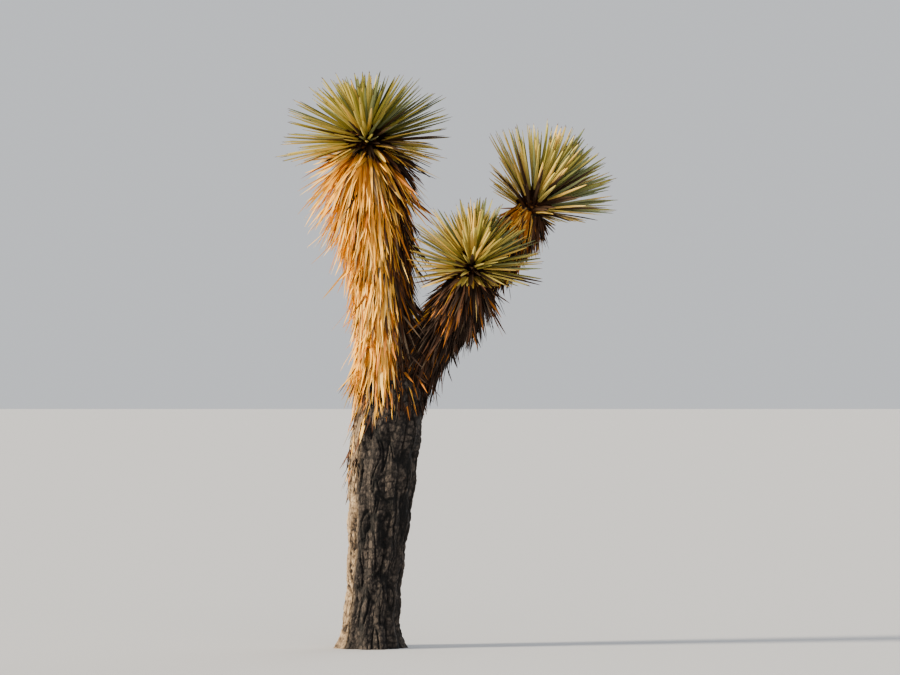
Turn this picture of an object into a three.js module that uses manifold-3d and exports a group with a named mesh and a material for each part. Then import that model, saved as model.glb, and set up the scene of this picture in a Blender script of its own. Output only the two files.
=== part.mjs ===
// A young joshua tree rooted in the ground. One leaning trunk forks into an upright leader and a right-hand
// bough with a short front bough on it. Each of the three limbs ends in a rosette of dagger leaves, and
// skirts of dead, folded-back leaves cover the limbs below the rosettes.
// Millimetres, +Z up, +X to the right and +Y away from the viewer. The origin is the middle of the flat cut
// at ground level.
import * as THREE from "three";
import { mergeVertices } from "three/addons/utils/BufferGeometryUtils.js";
import Module from "manifold-3d";

const wasm = await Module();
wasm.setup();
const { Manifold, Mesh: SolidMesh } = wasm;

// Driving dimensions of the trunk
const forkHeight = 1380; // flat top of the trunk, which carries the leader
const trunkLean = 108; // how far right of the root the trunk's top stands
const leanPower = 1.1; // above 1 the trunk leaves the root more upright
const trunkBow = 16; // how far it bows away from the viewer half way up
const slimRadius = 130; // the trunk a little above the ground
const swell = 42; // what the radius gains between these two heights
const swellStart = 150;
const swellEnd = 1100;
const shoulder = 34; // what the radius loses again from this height to the trunk's top
const shoulderStart = 1130;
const flare = 46; // what the root flare adds at the ground
const flareFade = 90; // height over which the flare fades
const flareLobes = 5; // buttresses in the flare
const lobeDepth = 0.07; // their depth as a share of the radius
const lobePhase = 0.7; // turns the buttresses round the trunk, in radians
const ribs = 11; // broad ridges of bark round the trunk
const ribHeight = 16; // from the valley between two of them to the ridge
const ribSwing = 1.4; // how far they swing from side to side, in radians of their own wave
const swingHeight = 760; // height of one such swing
const knuckleHeight = 8; // swellings that wind round the trunk, from hollow to crest
const knuckleSpacing = 210; // from one to the next up the trunk
const knuckleTurns = 2; // how many of them go round it side by side

// Clearances
const gap = 0.4; // between neighbouring pieces
const ridgeGap = 0.5; // the same beside the trunk, where the slopes of its ridges take up some of it
const leafClearance = 1.2; // by which a leaf is fattened when it is tested against its neighbours

// Facets
const trunkSides = 48;
const trunkRings = 34;
const ringCrowding = 1.1; // above 1 the trunk's rings lie closer together near the ground
const limbSides = 12;
const sleeveSides = 12;
const sleeveRings = 5;
const budSides = 8;
const budRings = 5;

// Limbs: a cubic curve from deep inside what carries them to where the rosette starts. The radius falls
// from startRadius to endRadius, quickly at first where the limb leaves its parent.
const limbs = {
  leader: {
    route: [[108, 0, 1290], [70, 14, 1640], [66, 22, 2100], [-8, -6, 2580]],
    startRadius: 138,
    endRadius: 74,
    rings: 10,
  },
  right_bough: {
    route: [[106, 0, 1215], [215, 12, 1560], [655, 52, 1980], [838, 62, 2262]],
    startRadius: 128,
    endRadius: 66,
    rings: 10,
  },
  front_bough: {
    route: [[380, 20, 1668], [436, -66, 1736], [496, -124, 1795], [522, -160, 1930]],
    startRadius: 84,
    endRadius: 58,
    rings: 5,
  },
};
const taperPace = 2.6; // how quickly a limb narrows

// Rosettes: a bud-shaped core at the limb's tip with leaves set round it by the golden angle. The lowest
// leaves stand at widestAngle degrees from the limb's direction, the top ones are topLength times as long.
const rosettes = {
  crown_left: {
    limb: "leader",
    leaves: 124,
    leafLength: 400,
    topLength: 0.58,
    budLength: 150,
    budRadius: 80,
    widestAngle: 94,
    seed: 3,
  },
  crown_right: {
    limb: "right_bough",
    leaves: 96,
    leafLength: 372,
    topLength: 0.96,
    budLength: 145,
    budRadius: 70,
    widestAngle: 62,
    seed: 5,
  },
  crown_front: {
    limb: "front_bough",
    leaves: 84,
    leafLength: 325,
    topLength: 0.86,
    budLength: 120,
    budRadius: 60,
    widestAngle: 88,
    seed: 8,
  },
};
const uprightAngle = 4; // of the topmost leaves, in degrees from the limb's direction
const leastAngle = 2;
const anglePower = 1.15; // above 1 more of the leaves stand wide
const angleScatter = 12; // degrees
const turnScatter = 0.3; // radians
const lengthScatter = 0.2; // share of a leaf's length
const lengthPower = 2.5; // above 1 only the leaves near the top grow shorter
const lowestRoot = 0.16; // shares of the bud's length where the first and the last leaf root
const highestRoot = 0.78;
const lowestSkin = 0.95; // shares of the bud's radius there
const highestSkin = 0.2;
const domePower = 1.6; // how long the bud keeps its width before it closes
const cupping = 0.4; // how far the upper face of a leaf looks in at the limb's direction
const postShare = 0.45; // share of the bud's length below its dome
const flatTop = 0.02; // keeps the dome's top from closing to a point
const crownLeafWidth = 30;
const crownLeafThickness = 11;
const widestShare = 0.26; // a live leaf is broadest at this share of its length
const rootDepth = 24; // how deep its root is sunk below the bud's skin

// Skirts: a sleeve round a stretch of limb, from and to being shares of its curve, with dead leaves folded
// back along it. The sleeve's thickness is given at foot, middle and head, and the spread of the leaves
// in degrees at foot and head.
const skirts = {
  leader_skirt_upper: {
    limb: "leader",
    from: 0.62,
    to: 0.985,
    leaves: 88,
    leafLength: 265,
    sleeve: [36, 62, 60],
    spread: [8, 68],
    seed: 13,
  },
  leader_skirt_lower: {
    limb: "leader",
    from: 0.11,
    to: 0.62,
    leaves: 84,
    leafLength: 190,
    sleeve: [48, 40, 34],
    spread: [18, 16],
    seed: 17,
  },
  right_skirt_upper: {
    limb: "right_bough",
    from: 0.64,
    to: 0.985,
    leaves: 58,
    leafLength: 125,
    sleeve: [28, 32, 26],
    spread: [12, 34],
    seed: 19,
  },
  right_skirt_lower: {
    limb: "right_bough",
    from: 0.2,
    to: 0.64,
    leaves: 64,
    leafLength: 170,
    sleeve: [20, 30, 28],
    spread: [12, 18],
    seed: 23,
  },
  front_skirt: {
    limb: "front_bough",
    from: 0.42,
    to: 0.97,
    leaves: 34,
    leafLength: 165,
    sleeve: [24, 46, 28],
    spread: [24, 50],
    seed: 29,
  },
};
const deadLeafWidth = 30;
const deadLeafThickness = 10;
const deadRootDepth = 16; // how deep a dead leaf's root is sunk in its sleeve, where the leaf is broadest
const skirtDroop = 0.3; // how strongly a dead leaf hangs, against its own direction
const leastLift = 0.2; // a dead leaf never lies flatter on its sleeve than this
const endMargin = 0.05; // share of a sleeve's length at each end with no leaf roots
const spreadPower = 1.5; // above 1 only the leaves near the head of a skirt stand wide
const spreadScatter = 14; // degrees
const skirtTurnScatter = 0.5; // radians
const skirtLengthScatter = 0.36; // share of a dead leaf's length

const goldenAngle = Math.PI * (3 - Math.sqrt(5));
const up = new THREE.Vector3(0, 0, 1);
const lerp = THREE.MathUtils.lerp;
const radians = THREE.MathUtils.degToRad;
const smoothstep = (low, high, value) => THREE.MathUtils.smoothstep(value, low, high);

// A seeded source of numbers from 0 to 1.
function seeded(seed) {
  let state = seed * 2654435761;
  return () => {
    state = (state + 0x6d2b79f5) | 0;
    let mixed = Math.imul(state ^ (state >>> 15), 1 | state);
    mixed = (mixed + Math.imul(mixed ^ (mixed >>> 7), 61 | mixed)) ^ mixed;
    return ((mixed ^ (mixed >>> 14)) >>> 0) / 4294967296;
  };
}

// A closed three.js geometry as a solid: only positions count, and shared vertices are merged.
function solidOf(geometry) {
  const plain = geometry.clone();
  plain.deleteAttribute("normal");
  plain.deleteAttribute("uv");
  const merged = mergeVertices(plain, 1e-4);
  return new Manifold(
    new SolidMesh({
      numProp: 3,
      vertProperties: merged.attributes.position.array,
      triVerts: new Uint32Array(merged.index.array),
    }),
  );
}

// A solid as a flat-shaded geometry.
function geometryOf(solid) {
  const mesh = solid.getMesh();
  const geometry = new THREE.BufferGeometry();
  geometry.setAttribute("position", new THREE.BufferAttribute(mesh.vertProperties, mesh.numProp));
  geometry.setIndex(new THREE.BufferAttribute(mesh.triVerts, 1));
  const faceted = geometry.toNonIndexed();
  faceted.computeVertexNormals();
  return faceted;
}

// The largest body of a solid. What is left out are loose scraps and the skins of sealed hollows.
function mainBody(solid) {
  const bodies = solid.decompose();
  return bodies.reduce((best, body) => (body.volume() > best.volume() ? body : best));
}

// A closed cylinder whose skin is moved to place(turn, share, radiusShare): turn is the angle round it in
// radians, share runs from 0 at its foot to 1 at its head, and radiusShare from 0 on the axis to 1 on the
// skin.
function bentCylinder(sides, rings, place) {
  const geometry = new THREE.CylinderGeometry(1, 1, 1, sides, rings);
  const position = geometry.attributes.position;
  const vertex = new THREE.Vector3();
  for (let i = 0; i < position.count; i++) {
    vertex.fromBufferAttribute(position, i);
    const radiusShare = Math.hypot(vertex.x, vertex.z);
    const placed = place(Math.atan2(-vertex.z, vertex.x), vertex.y + 0.5, radiusShare);
    position.setXYZ(i, placed.x, placed.y, placed.z);
  }
  return solidOf(geometry);
}

// The trunk's radius at a height: slim above the root flare, swelling upwards, and narrowed at its top.
function trunkRadius(height) {
  const swollen = slimRadius + swell * smoothstep(swellStart, swellEnd, height);
  const narrowed = shoulder * smoothstep(shoulderStart, forkHeight, height);
  return swollen - narrowed + flare * Math.exp(-height / flareFade);
}

// The trunk's middle at a height: it leaves the root upright and leans more from there.
function trunkMiddle(height) {
  const share = height / forkHeight;
  return new THREE.Vector3(trunkLean * share ** leanPower, trunkBow * Math.sin(Math.PI * share), height);
}

// How far the trunk's ridges and swellings stand out at an angle round it and a height.
function trunkRelief(turn, height) {
  const swing = ribSwing * Math.sin((2 * Math.PI * height) / swingHeight);
  const rib = Math.cos(ribs * turn + swing);
  const knuckle = Math.cos((2 * Math.PI * height) / knuckleSpacing + knuckleTurns * turn);
  return (ribHeight * rib + knuckleHeight * knuckle) / 2;
}

// The trunk, fattened all round and at its top by extra.
function trunkSolid(extra) {
  return bentCylinder(trunkSides, trunkRings, (turn, share, radiusShare) => {
    const height = forkHeight * share ** ringCrowding;
    const lobes = 1 + lobeDepth * Math.exp(-height / flareFade) * Math.cos(flareLobes * turn + lobePhase);
    const radius = (trunkRadius(height) * lobes + trunkRelief(turn, height) + extra) * radiusShare;
    const middle = trunkMiddle(height);
    const raised = share > 0.999 ? extra : 0;
    return new THREE.Vector3(
      middle.x + radius * Math.cos(turn),
      middle.y + radius * Math.sin(turn),
      height + raised,
    );
  });
}

// The middle, direction and two cross directions of a limb at a share of its curve.
function frameAt(limb, share) {
  limb.curve ??= new THREE.CubicBezierCurve3(...limb.route.map((p) => new THREE.Vector3(...p)));
  const middle = limb.curve.getPoint(share);
  const along = limb.curve.getTangent(share);
  const side = new THREE.Vector3(0, 1, 0).cross(along).normalize();
  const back = along.clone().cross(side);
  return { middle, along, side, back };
}

function limbRadius(limb, share) {
  return limb.endRadius + (limb.startRadius - limb.endRadius) * Math.exp(-taperPace * share);
}

// The direction out of a frame at an angle round it.
function outwards(frame, turn) {
  return frame.side
    .clone()
    .multiplyScalar(Math.cos(turn))
    .addScaledVector(frame.back, Math.sin(turn));
}

// A tube round a limb from one share of its curve to another, with radiusAt(share) as its radius.
function tubeRound(limb, from, to, sides, rings, radiusAt) {
  return bentCylinder(sides, rings, (turn, share, radiusShare) => {
    const at = lerp(from, to, share);
    const frame = frameAt(limb, at);
    return frame.middle.clone().addScaledVector(outwards(frame, turn), radiusAt(at) * radiusShare);
  });
}

function limbSolid(limb, extra) {
  return tubeRound(limb, 0, 1, limbSides, limb.rings, (share) => limbRadius(limb, share) + extra);
}

// A three-sided dagger leaf from its sunk root to its point: flat above, keeled beneath, and broadest at
// the distance widest from its root. upper is the way its flat face looks.
function leafSolid({ root, direction, upper, length, widest, width, thickness }, extra) {
  const geometry = new THREE.SphereGeometry(1, 3, 2);
  const position = geometry.attributes.position;
  const across = new THREE.Vector3().crossVectors(upper, direction).normalize();
  const face = new THREE.Vector3().crossVectors(direction, across);
  const halfAcross = (width + extra) / Math.sqrt(3); // the triangle's corners lie at 0.866 of this
  const faceReach = (thickness + extra) / 1.5; // from 1 below to 0.5 above
  for (let i = 0; i < position.count; i++) {
    const pole = Math.round(position.getY(i));
    const reach = pole > 0 ? length + extra : pole < 0 ? 0 : widest;
    const placed = root
      .clone()
      .addScaledVector(direction, reach)
      .addScaledVector(face, position.getX(i) * faceReach)
      .addScaledVector(across, position.getZ(i) * halfAcross);
    position.setXYZ(i, placed.x, placed.y, placed.z);
  }
  return solidOf(geometry);
}

function boxesMeet(a, b) {
  return [0, 1, 2].every((axis) => a.min[axis] <= b.max[axis] && b.min[axis] <= a.max[axis]);
}

// Whether a solid touches any of the others.
function touches(solid, others) {
  const box = solid.boundingBox();
  return others.some(
    (other) => boxesMeet(box, other.boundingBox()) && !solid.intersect(other).isEmpty(),
  );
}

// A core with leaves fused on, each grown by leafAt(i). A leaf that would reach below the ground or touch
// a neighbour is skipped.
function massOf(core, count, leafAt, neighbours) {
  const kept = [];
  for (let i = 0; i < count; i++) {
    const leaf = leafAt(i);
    const fat = leafSolid(leaf, leafClearance);
    if (fat.boundingBox().min[2] < gap || touches(fat, neighbours)) continue;
    kept.push(leafSolid(leaf, 0));
  }
  return mainBody(Manifold.union([core, ...kept]));
}

// The bud at a limb's tip: a short post, then a dome.
function budSolid(limb, rosette) {
  const frame = frameAt(limb, 1);
  return bentCylinder(budSides, budRings, (turn, share, radiusShare) => {
    const rise = Math.max(0, (share - postShare) / (1 - postShare));
    const radius = rosette.budRadius * Math.sqrt(Math.max(flatTop, 1 - rise ** 2)) * radiusShare;
    return frame.middle
      .clone()
      .addScaledVector(frame.along, gap + share * rosette.budLength)
      .addScaledVector(outwards(frame, turn), radius);
  });
}

// A rosette: the lowest leaves are the longest and stand widest, the top ones are shorter and upright.
function rosetteSolid(rosette, neighbours) {
  const limb = limbs[rosette.limb];
  const frame = frameAt(limb, 1);
  const random = seeded(rosette.seed);
  const leafAt = (i) => {
    const share = (i + 0.5) / rosette.leaves;
    const turn = i * goldenAngle + (random() - 0.5) * turnScatter;
    const angle = lerp(rosette.widestAngle, uprightAngle, share ** anglePower);
    const tilt = radians(Math.max(leastAngle, angle + (random() - 0.5) * angleScatter));
    const length = rosette.leafLength * lerp(1, rosette.topLength, share ** lengthPower);
    const out = outwards(frame, turn);
    const skin = rosette.budRadius * lerp(lowestSkin, highestSkin, share ** domePower);
    return {
      root: frame.middle
        .clone()
        .addScaledVector(frame.along, rosette.budLength * lerp(lowestRoot, highestRoot, share))
        .addScaledVector(out, Math.max(0, skin - rootDepth)),
      direction: out.clone().multiplyScalar(Math.sin(tilt)).addScaledVector(frame.along, Math.cos(tilt)),
      upper: frame.along.clone().addScaledVector(out, -cupping).normalize(),
      length: length * (1 + (random() - 0.5) * lengthScatter) + rootDepth,
      widest: rosette.leafLength * widestShare,
      width: crownLeafWidth,
      thickness: crownLeafThickness,
    };
  };
  return massOf(budSolid(limb, rosette), rosette.leaves, leafAt, neighbours);
}

// How thick a skirt's sleeve is at a share of its limb's curve.
function sleeveThickness(skirt, share) {
  const within = (share - skirt.from) / (skirt.to - skirt.from);
  const [foot, middle, head] = skirt.sleeve;
  return within < 0.5
    ? lerp(foot, middle, smoothstep(0, 0.5, within))
    : lerp(middle, head, smoothstep(0.5, 1, within));
}

// A skirt's sleeve with its bore still filled, fattened all over by extra.
function sleeveSolid(skirt, extra) {
  const limb = limbs[skirt.limb];
  const endExtra = extra / limb.curve.getLength();
  const skinAt = (share) => limbRadius(limb, share) + sleeveThickness(skirt, share) + extra;
  return tubeRound(limb, skirt.from - endExtra, skirt.to + endExtra, sleeveSides, sleeveRings, skinAt);
}

// A skirt: a sleeve with dead leaves that point back down the limb, spread out and hang a little.
function skirtSolid(skirt, sleeve, neighbours) {
  const limb = limbs[skirt.limb];
  const random = seeded(skirt.seed);
  const leafAt = (i) => {
    const within = lerp(endMargin, 1 - endMargin, (i + 0.5) / skirt.leaves);
    const share = lerp(skirt.from, skirt.to, within);
    const frame = frameAt(limb, share);
    const turn = i * goldenAngle + (random() - 0.5) * skirtTurnScatter;
    const out = outwards(frame, turn);
    const evenSpread = lerp(skirt.spread[0], skirt.spread[1], within ** spreadPower);
    const spread = radians(evenSpread + (random() - 0.5) * spreadScatter);
    const direction = out
      .clone()
      .multiplyScalar(Math.sin(spread))
      .addScaledVector(frame.along, -Math.cos(spread))
      .addScaledVector(up, -skirtDroop)
      .normalize();
    const lift = direction.dot(out);
    if (lift < leastLift) direction.addScaledVector(out, leastLift - lift).normalize();
    const skin = limbRadius(limb, share) + sleeveThickness(skirt, share);
    return {
      root: frame.middle.clone().addScaledVector(out, skin - deadRootDepth),
      direction,
      upper: out,
      length: skirt.leafLength * (1 + (random() - 0.5) * skirtLengthScatter),
      widest: deadRootDepth,
      width: deadLeafWidth,
      thickness: deadLeafThickness,
    };
  };
  return massOf(sleeve, skirt.leaves, leafAt, neighbours);
}

// Colours and finishes
const bark = new THREE.MeshStandardMaterial({ color: 0x6f6052, roughness: 0.95, metalness: 0 });
const liveLeaf = new THREE.MeshStandardMaterial({ color: 0x7f8a46, roughness: 0.6, metalness: 0 });
const deadLeaf = new THREE.MeshStandardMaterial({ color: 0xb98a4e, roughness: 0.85, metalness: 0 });

const tree = new THREE.Group();
function addPiece(name, solid, material) {
  const piece = new THREE.Mesh(geometryOf(solid), material);
  piece.name = name;
  tree.add(piece);
}

// Trunk and boughs, each cut clear of what carries it
const trunk = trunkSolid(0);
const leader = limbSolid(limbs.leader, 0).trimByPlane([0, 0, 1], forkHeight + gap);
const rightBough = mainBody(
  limbSolid(limbs.right_bough, 0)
    .subtract(trunkSolid(ridgeGap))
    .subtract(limbSolid(limbs.leader, gap)),
);
const frontBough = mainBody(
  limbSolid(limbs.front_bough, 0).subtract(limbSolid(limbs.right_bough, gap)),
);
addPiece("trunk", trunk, bark);
addPiece("leader", leader, bark);
addPiece("right_bough", rightBough, bark);
addPiece("front_bough", frontBough, bark);

// The skirts' sleeves, each cut clear of the wood and of the sleeves before it
const fatWood = [trunkSolid(ridgeGap), ...Object.values(limbs).map((limb) => limbSolid(limb, gap))];
const sleeves = {};
const fatSleeves = [];
for (const [name, skirt] of Object.entries(skirts)) {
  const cutters = [...fatWood, ...fatSleeves];
  sleeves[name] = mainBody(cutters.reduce((solid, cutter) => solid.subtract(cutter), sleeveSolid(skirt, 0)));
  fatSleeves.push(sleeveSolid(skirt, gap));
}

// Rosettes, then the skirts' leaves, each grown clear of the wood, the sleeves and what is already there
const wood = [trunk, leader, rightBough, frontBough];
const masses = [];
for (const [name, rosette] of Object.entries(rosettes)) {
  const solid = rosetteSolid(rosette, [...wood, ...Object.values(sleeves), ...masses]);
  masses.push(solid);
  addPiece(name, solid, liveLeaf);
}
for (const [name, skirt] of Object.entries(skirts)) {
  const otherSleeves = Object.keys(sleeves).filter((other) => other !== name).map((other) => sleeves[other]);
  const solid = skirtSolid(skirt, sleeves[name], [...wood, ...otherSleeves, ...masses]);
  masses.push(solid);
  addPiece(name, solid, deadLeaf);
}

export default tree;
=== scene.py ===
# A young joshua tree rooted in the ground: a furrowed trunk, three limbs under skirts of dead leaves, and
# a rosette of dagger leaves on each limb. Lengths are in metres.
import math

import bpy
import numpy as np
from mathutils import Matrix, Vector


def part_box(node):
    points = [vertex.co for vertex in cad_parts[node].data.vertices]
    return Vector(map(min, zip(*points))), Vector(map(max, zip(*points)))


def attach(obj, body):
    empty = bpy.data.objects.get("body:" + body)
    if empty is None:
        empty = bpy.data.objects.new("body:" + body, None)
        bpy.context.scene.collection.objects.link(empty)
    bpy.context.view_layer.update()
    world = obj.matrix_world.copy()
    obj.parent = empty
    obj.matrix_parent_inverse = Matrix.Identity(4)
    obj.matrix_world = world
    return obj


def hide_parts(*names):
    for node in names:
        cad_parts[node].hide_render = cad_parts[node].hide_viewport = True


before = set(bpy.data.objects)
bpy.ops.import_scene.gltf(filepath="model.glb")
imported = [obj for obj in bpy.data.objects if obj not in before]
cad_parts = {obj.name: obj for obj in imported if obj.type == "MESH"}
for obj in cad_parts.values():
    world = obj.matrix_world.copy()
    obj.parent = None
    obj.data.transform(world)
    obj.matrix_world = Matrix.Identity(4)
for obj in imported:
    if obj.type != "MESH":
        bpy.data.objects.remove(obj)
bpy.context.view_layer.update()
print("frame loaded with", len(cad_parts), "nodes")

# Sizes of the wood, as the solids have them
trunk = {
    "forkHeight": 1.380,
    "lean": 0.108,
    "leanPower": 1.1,
    "bow": 0.016,
    "slimRadius": 0.130,
    "swell": 0.042,
    "swellStart": 0.150,
    "swellEnd": 1.100,
    "shoulder": 0.034,
    "shoulderStart": 1.130,
    "flare": 0.046,
    "flareFade": 0.090,
    "lobes": 5,
    "lobeDepth": 0.07,
    "lobePhase": 0.7,
    "ribs": 11,
    "ribHeight": 0.016,
    "ribSwing": 1.4,
    "swingHeight": 0.760,
    "knuckleHeight": 0.008,
    "knuckleSpacing": 0.210,
    "knuckleTurns": 2,
    "joins": ["leader", "right_bough"],
    "rings": 326,
    "sides": 300,
    "barkSeed": 71,
}
limbs = {
    "leader": {
        "route": [
            (0.108, 0, 1.290),
            (0.070, 0.014, 1.640),
            (0.066, 0.022, 2.100),
            (-0.008, -0.006, 2.580),
        ],
        "startRadius": 0.138,
        "endRadius": 0.074,
        "joins": ["trunk", "right_bough"],
        "rings": 220,
        "sides": 150,
        "barkSeed": 31,
    },
    "right_bough": {
        "route": [
            (0.106, 0, 1.215),
            (0.215, 0.012, 1.560),
            (0.655, 0.052, 1.980),
            (0.838, 0.062, 2.262),
        ],
        "startRadius": 0.128,
        "endRadius": 0.066,
        "joins": ["trunk", "leader"],
        "rings": 240,
        "sides": 150,
        "barkSeed": 47,
    },
    "front_bough": {
        "route": [
            (0.380, 0.020, 1.668),
            (0.436, -0.066, 1.736),
            (0.496, -0.124, 1.795),
            (0.522, -0.160, 1.930),
        ],
        "startRadius": 0.084,
        "endRadius": 0.058,
        "joins": ["right_bough"],
        "rings": 70,
        "sides": 100,
        "barkSeed": 59,
    },
}
taperPace = 2.6  # how quickly a limb narrows
headStart, headNarrowing = 0.985, 0.3  # where along a limb its head rounds off, and by what share
filletReach = 0.07
axisPoints = 60  # places along a limb that distances are taken from
farAway = 9.0  # more than any distance on the tree
goldenAngle = math.pi * (3 - math.sqrt(5))
upWay = np.array([0.0, 0.0, 1.0])


def smoothstep(low, high, value):  # 3s² - 2s³ of the share s of the way from low to high
    share = np.clip((value - low) / (high - low), 0, 1)
    return share * share * (3 - 2 * share)


def lerp(start, end, share):  # start + (end - start) share
    return start + (end - start) * share


def unit(ways):  # each vector over its own length
    return ways / np.linalg.norm(ways, axis=-1, keepdims=True)


def dot(a, b):  # the sum of a b over the last axis, kept as an axis
    return np.sum(a * b, axis=-1, keepdims=True)


def trunkRadius(height):  # slim foot + swell - shoulder + flare e^(-height / fade)
    swell = trunk["swell"] * smoothstep(trunk["swellStart"], trunk["swellEnd"], height)
    shoulder = trunk["shoulder"] * smoothstep(trunk["shoulderStart"], trunk["forkHeight"], height)
    flare = trunk["flare"] * np.exp(-height / trunk["flareFade"])
    return trunk["slimRadius"] + swell - shoulder + flare


def trunkRelief(turn, height):
    # Half of rib cos(ribs turn + swing sin(2 pi height / swing height)) and of
    # knuckle cos(2 pi height / spacing + turns turn)
    swing = trunk["ribSwing"] * np.sin(2 * np.pi * height / trunk["swingHeight"])
    rib = np.cos(trunk["ribs"] * turn + swing)
    knuckle = np.cos(2 * np.pi * height / trunk["knuckleSpacing"] + trunk["knuckleTurns"] * turn)
    return (trunk["ribHeight"] * rib + trunk["knuckleHeight"] * knuckle) / 2


def trunkMiddle(height):  # x = lean share^power and y = bow sin(pi share), where share = height / forkHeight
    share = np.clip(height / trunk["forkHeight"], 0, 1)
    x = trunk["lean"] * share ** trunk["leanPower"]
    return np.stack([x, trunk["bow"] * np.sin(np.pi * share), height], -1)


def limbFrame(limb, share):
    # The cubic Bezier point (1-s)³A + 3(1-s)²sB + 3(1-s)s²C + s³D, its direction, and two ways across it
    a, b, c, d = np.array(limb["route"], float)
    s = np.asarray(share, float)[..., None]
    middle = (1 - s) ** 3 * a + 3 * (1 - s) ** 2 * s * b + 3 * (1 - s) * s**2 * c + s**3 * d
    along = unit((1 - s) ** 2 * (b - a) + 2 * (1 - s) * s * (c - b) + s**2 * (d - c))
    side = unit(np.cross([0.0, 1.0, 0.0], along))
    return middle, along, side, np.cross(along, side)


def limbRadius(limb, share):  # end + (start - end) e^(-pace share)
    return limb["endRadius"] + (limb["startRadius"] - limb["endRadius"]) * np.exp(-taperPace * share)


def outwards(side, back, turn):  # side cos(turn) + back sin(turn)
    return side * np.cos(turn)[..., None] + back * np.sin(turn)[..., None]


def clearOf(name, points):
    # How far points lie outside the trunk or a limb: the distance to its nearest axis point less the radius
    if name == "trunk":
        height = np.clip(points[..., 2], 0, trunk["forkHeight"])
        away = points - trunkMiddle(height)
        beside = np.hypot(away[..., 0], away[..., 1]) - trunkRadius(height)
        return np.hypot(np.maximum(beside, 0), away[..., 2]) + np.minimum(beside, 0)
    share = np.linspace(0, 1, axisPoints)
    middle = limbFrame(limbs[name], share)[0]
    radius = limbRadius(limbs[name], share)
    nearest = np.full(points.shape[:-1], farAway)
    for point, size in zip(middle, radius):
        nearest = np.minimum(nearest, np.linalg.norm(points - point, axis=-1) - size)
    return nearest


def fillet(points, neighbours):  # (reach - distance)² / 4 reach, summed over the neighbours
    rise = np.zeros(points.shape[:-1])
    for name in neighbours:
        near = np.clip(filletReach - np.maximum(clearOf(name, points), 0), 0, filletReach)
        rise += near**2 / (4 * filletReach)
    return rise


def scatter(rng, count):  # shares from -½ to ½
    return rng.uniform(-0.5, 0.5, count)


# Patterns round a limb
latticeRows = 256  # cells up the limb before a pattern repeats
cellJitter = (0.12, 0.88)  # where in its cell a seed may lie
squareness = 4  # 2 would give rounder cells


def valueNoise(across, up, cellsAround, seed):
    # Random lattice values from -1 to 1 mixed by smoothstep shares, closed round after cellsAround cells
    rows = latticeRows
    lattice = np.random.default_rng(seed).uniform(-1, 1, (rows, cellsAround))
    column = np.floor(across).astype(int)
    row = np.floor(up).astype(int)
    shareX = smoothstep(0, 1, across - column)
    shareY = smoothstep(0, 1, up - row)
    here = lattice[row % rows, column % cellsAround]
    right = lattice[row % rows, (column + 1) % cellsAround]
    above = lattice[(row + 1) % rows, column % cellsAround]
    corner = lattice[(row + 1) % rows, (column + 1) % cellsAround]
    return lerp(lerp(here, right, shareX), lerp(above, corner, shareX), shareY)


def cellEdges(across, up, cellsAround, seed):
    # Distance to the second nearest seed of a jittered grid less that to the nearest, and that cell's tone
    rows = latticeRows
    rng = np.random.default_rng(seed)
    jitter = rng.uniform(*cellJitter, (rows, cellsAround, 2))
    tones = rng.uniform(0, 1, (rows, cellsAround))
    column = np.floor(across).astype(int)
    row = np.floor(up).astype(int)
    nearest = np.full(across.shape, farAway)
    second = np.full(across.shape, farAway)
    tone = np.zeros(across.shape)
    for i in (-1, 0, 1):
        for j in (-1, 0, 1):
            cell = ((row + j) % rows, (column + i) % cellsAround)
            awayX = across - column - i - jitter[cell][..., 0]
            awayY = up - row - j - jitter[cell][..., 1]
            away = (awayX**squareness + awayY**squareness) ** (1 / squareness)
            second = np.where(away < nearest, nearest, np.minimum(second, away))
            tone = np.where(away < nearest, tones[cell], tone)
            nearest = np.minimum(nearest, away)
    return second - nearest, tone


# Meshes
def rowQuads(rows, sides):  # quads between neighbouring rows of points, closed round
    row = np.arange(rows - 1)[:, None] * sides
    here = np.arange(sides)
    after = (here + 1) % sides
    return np.stack([row + here, row + after, row + sides + after, row + sides + here], -1).reshape(-1, 4)


def ringFaces(rings, sides):  # quads between the rings, and a fan to the last two points at each end
    here = np.arange(sides)
    after = (here + 1) % sides
    top = (rings - 1) * sides
    foot = np.stack([np.full(sides, rings * sides), after, here], -1)
    head = np.stack([np.full(sides, rings * sides + 1), top + here, top + after], -1)
    return [rowQuads(rings, sides), foot, head]


def closedTube(grid):  # the grid's points, then the middles of its first and last ring
    points = grid.reshape(-1, 3)
    return np.concatenate([points, grid[0].mean(0)[None], grid[-1].mean(0)[None]])


def makePiece(name, nodes, vertices, faces, finishes, faceFinish=None, values=None, sharpAngle=180):
    mesh = bpy.data.meshes.new(name)
    mesh.from_pydata(vertices.tolist(), [], [face for block in faces for face in block.tolist()])
    for finish in finishes:
        mesh.materials.append(finish)
    if faceFinish is not None:
        mesh.polygons.foreach_set("material_index", faceFinish.astype(np.int32))
    for attribute, numbers in (values or {}).items():
        layer = mesh.attributes.new(attribute, "FLOAT", "POINT")
        layer.data.foreach_set("value", numbers.astype(np.float32))
    mesh.shade_smooth()
    if sharpAngle < 180:
        mesh.set_sharp_from_angle(angle=math.radians(sharpAngle))
    mesh.update()
    piece = bpy.data.objects.new(name, mesh)
    bpy.context.scene.collection.objects.link(piece)
    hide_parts(*nodes)
    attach(piece, "root")
    print(name, len(mesh.polygons), "faces")


def withEnds(values):  # grid values for a closed tube's points, with the means of the end rings last
    return np.concatenate([values.ravel(), [values[0].mean(), values[-1].mean()]])


def makeTube(name, nodes, slot, grid, finish, **values):  # one closed mesh from rings of points
    ends = {attribute: withEnds(numbers) for attribute, numbers in values.items()}
    makePiece(name, nodes, closedTube(grid), ringFaces(*grid.shape[:2]), [finish], values=ends)


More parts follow.
